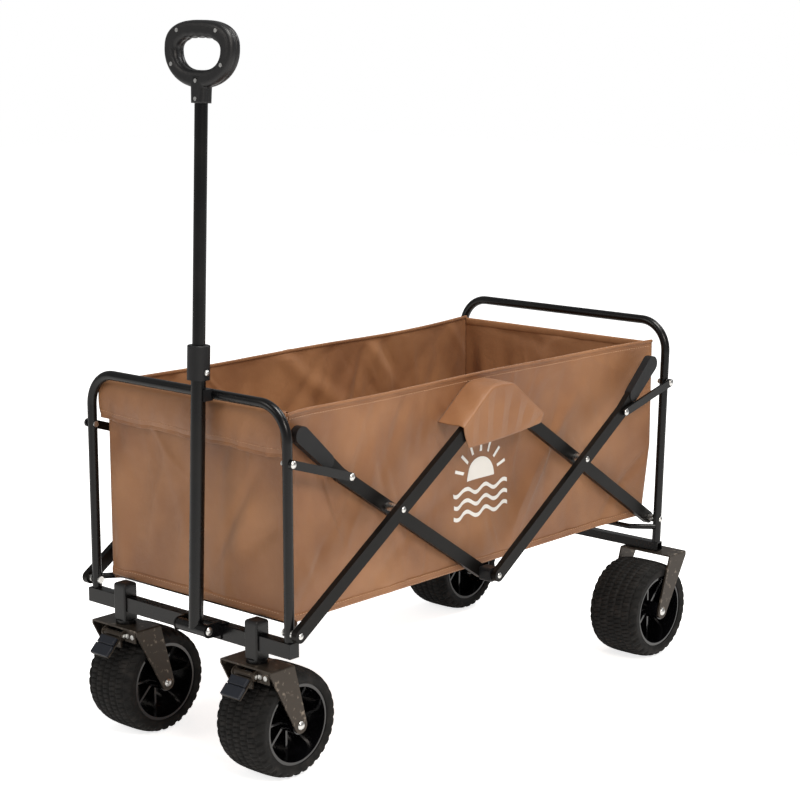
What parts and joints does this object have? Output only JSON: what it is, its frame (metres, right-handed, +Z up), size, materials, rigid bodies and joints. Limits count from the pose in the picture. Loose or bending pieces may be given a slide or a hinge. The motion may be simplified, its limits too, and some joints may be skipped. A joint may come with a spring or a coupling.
{
  "type": "folding beach cart",
  "caption": "Folding fabric wagon on fat beach wheels, with scissor side frames, swivelling braked front casters and a telescoping pull handle with a loop grip.",
  "frame": {"origin": "on the ground, midway between the cart's ends and sides", "axes": "+X across the cart, to the left of someone pulling it and facing away from it; +Y from the handle end to the rear; +Z up"},
  "size_m": [0.5838, 1.0817, 1.1825],
  "materials": {
    "black_tube": "satin powder coat",
    "bar_steel": "satin powder coat, dark brown-black",
    "fork_metal": "gunmetal paint, worn at the edges",
    "zinc": "bright zinc plate",
    "black_plastic": "matte moulded plastic",
    "grip_plastic": "fine-grained moulded plastic",
    "pedal_plastic": "matte blue-black plastic",
    "tyre_foam": "matte solid foam rubber",
    "rim_plastic": "glossy moulded plastic",
    "oxford_cloth": "coated oxford weave, slight sheen"
  },
  "bodies": {
    "front_frame": {"front_u_frame": "black_tube", "front_cross_bar": "black_tube", "caster_posts": "black_tube", "frame_caps": "black_plastic", "front_floor_rod": "black_tube", "handle_bracket": "black_tube", "handle_rest": "black_plastic", "front_bolts": "zinc", "basket_front_panel": "oxford_cloth", "basket_side_left": "oxford_cloth", "basket_side_right": "oxford_cloth", "basket_floor": "oxford_cloth"},
    "front_outer_bars": {"front_outer_bar_left": "bar_steel", "front_outer_bar_right": "bar_steel", "front_pivot_bolts": "zinc", "peak_hoods": "oxford_cloth"},
    "front_inner_bars": {"front_inner_bar_left": "bar_steel", "front_inner_bar_right": "bar_steel", "front_corner_caps": "black_plastic", "bottom_spacers": "black_plastic"},
    "rear_inner_bars": {"rear_inner_bar_left": "bar_steel", "rear_inner_bar_right": "bar_steel", "rear_pivot_bolts": "zinc"},
    "rear_outer_bars": {"rear_outer_bar_left": "bar_steel", "rear_outer_bar_right": "bar_steel", "rear_corner_caps": "black_plastic", "bottom_pivot_bolts": "zinc"},
    "rear_frame": {"rear_u_frame": "black_tube", "rear_cross_bar": "black_tube", "rear_forks": "fork_metal", "rear_bolts": "zinc", "rear_floor_rod": "black_tube", "basket_rear_panel": "oxford_cloth"},
    "front_link_pair": {"front_links": "black_tube", "front_link_rivets": "zinc"},
    "rear_link_pair": {"rear_links": "black_tube", "rear_link_rivets": "zinc"},
    "handle_lower": {"handle_lower_tube": "black_tube", "handle_collar": "black_plastic", "lock_button": "zinc"},
    "handle_upper": {"handle_upper_tube": "black_tube", "grip_front_shell": "grip_plastic", "grip_rear_shell": "grip_plastic", "grip_screws": "zinc"},
    "caster_left": {"caster_fork_left": "fork_metal", "caster_pins_left": "zinc"},
    "brake_left": {"brake_lever_left": "fork_metal", "brake_pedal_left": "pedal_plastic"},
    "front_wheel_left": {"front_tyre_left": "tyre_foam", "front_rim_left": "rim_plastic"},
    "rear_wheel_left": {"rear_tyre_left": "tyre_foam", "rear_rim_left": "rim_plastic"},
    "caster_right": {"caster_fork_right": "fork_metal", "caster_pins_right": "zinc"},
    "brake_right": {"brake_lever_right": "fork_metal", "brake_pedal_right": "pedal_plastic"},
    "front_wheel_right": {"front_tyre_right": "tyre_foam", "front_rim_right": "rim_plastic"},
    "rear_wheel_right": {"rear_tyre_right": "tyre_foam", "rear_rim_right": "rim_plastic"}
  },
  "joints": [
    {"name": "fold", "type": "hinge", "parent": "front_frame", "child": "front_outer_bars", "pos_m": [0, -0.4764, 0.2542], "axis": [1, 0, 0], "range_deg": [0, 41.3], "deforming": ["basket_side_left", "basket_side_right", "basket_floor", "peak_hoods"]},
    {"name": "front_cross", "type": "hinge", "parent": "front_outer_bars", "child": "front_inner_bars", "pos_m": [0, -0.2392, 0.41001], "axis": [1, 0, 0], "range_deg": [-82.6, 0]},
    {"name": "peak", "type": "hinge", "parent": "front_outer_bars", "child": "rear_inner_bars", "pos_m": [0, 0.007, 0.57173], "axis": [1, 0, 0], "range_deg": [-82.6, 0]},
    {"name": "rear_cross", "type": "hinge", "parent": "rear_inner_bars", "child": "rear_outer_bars", "pos_m": [0, 0.2532, 0.41001], "axis": [1, 0, 0], "range_deg": [0, 82.6]},
    {"name": "rear_leg", "type": "hinge", "parent": "rear_inner_bars", "child": "rear_frame", "pos_m": [0, 0.4904, 0.2542], "axis": [1, 0, 0], "range_deg": [0, 41.3]},
    {"name": "front_link_hinge", "type": "hinge", "parent": "front_frame", "child": "front_link_pair", "pos_m": [0, -0.4764, 0.522], "axis": [1, 0, 0], "range_deg": [0, 90.3]},
    {"name": "rear_link_hinge", "type": "hinge", "parent": "rear_frame", "child": "rear_link_pair", "pos_m": [0, 0.50085, 0.5155], "axis": [1, 0, 0], "range_deg": [-83.4, 0]},
    {"name": "handle_tilt", "type": "hinge", "parent": "front_frame", "child": "handle_lower", "pos_m": [0.056, -0.513, 0.236], "axis": [1, 0, 0], "range_deg": [0, 100]},
    {"name": "handle_slide", "type": "slide", "parent": "handle_lower", "child": "handle_upper", "axis": [0, 0.0393, 0.9992], "range_m": [-0.368, 0]},
    {"name": "swivel_left", "type": "hinge", "parent": "front_frame", "child": "caster_left", "pos_m": [0.156, -0.4764, 0.205], "axis": [0, 0, 1], "continuous": true},
    {"name": "brake_left", "type": "hinge", "parent": "caster_left", "child": "brake_left", "pos_m": [0.156, -0.506, 0.181], "axis": [1, 0, 0], "range_deg": [0, 15]},
    {"name": "front_spin_left", "type": "hinge", "parent": "caster_left", "child": "front_wheel_left", "pos_m": [0.156, -0.4363, 0.09], "axis": [1, 0, 0], "continuous": true},
    {"name": "rear_spin_left", "type": "hinge", "parent": "rear_frame", "child": "rear_wheel_left", "pos_m": [0.2312, 0.4508, 0.09], "axis": [1, 0, 0], "continuous": true},
    {"name": "swivel_right", "type": "hinge", "parent": "front_frame", "child": "caster_right", "pos_m": [-0.156, -0.4764, 0.205], "axis": [0, 0, 1], "continuous": true},
    {"name": "brake_right", "type": "hinge", "parent": "caster_right", "child": "brake_right", "pos_m": [-0.156, -0.506, 0.181], "axis": [1, 0, 0], "range_deg": [0, 15]},
    {"name": "front_spin_right", "type": "hinge", "parent": "caster_right", "child": "front_wheel_right", "pos_m": [-0.156, -0.4363, 0.09], "axis": [1, 0, 0], "continuous": true},
    {"name": "rear_spin_right", "type": "hinge", "parent": "rear_frame", "child": "rear_wheel_right", "pos_m": [-0.2312, 0.4508, 0.09], "axis": [1, 0, 0], "continuous": true}
  ],
  "couplings": [
    {"joint": "front_cross", "follows": "fold", "ratio": -2},
    {"joint": "peak", "follows": "fold", "ratio": -2},
    {"joint": "rear_cross", "follows": "fold", "ratio": 2},
    {"joint": "rear_leg", "follows": "fold", "ratio": 1},
    {"joint": "front_link_hinge", "follows": "fold", "ratio": 2.1811},
    {"joint": "rear_link_hinge", "follows": "fold", "ratio": -2.0149}
  ]
}
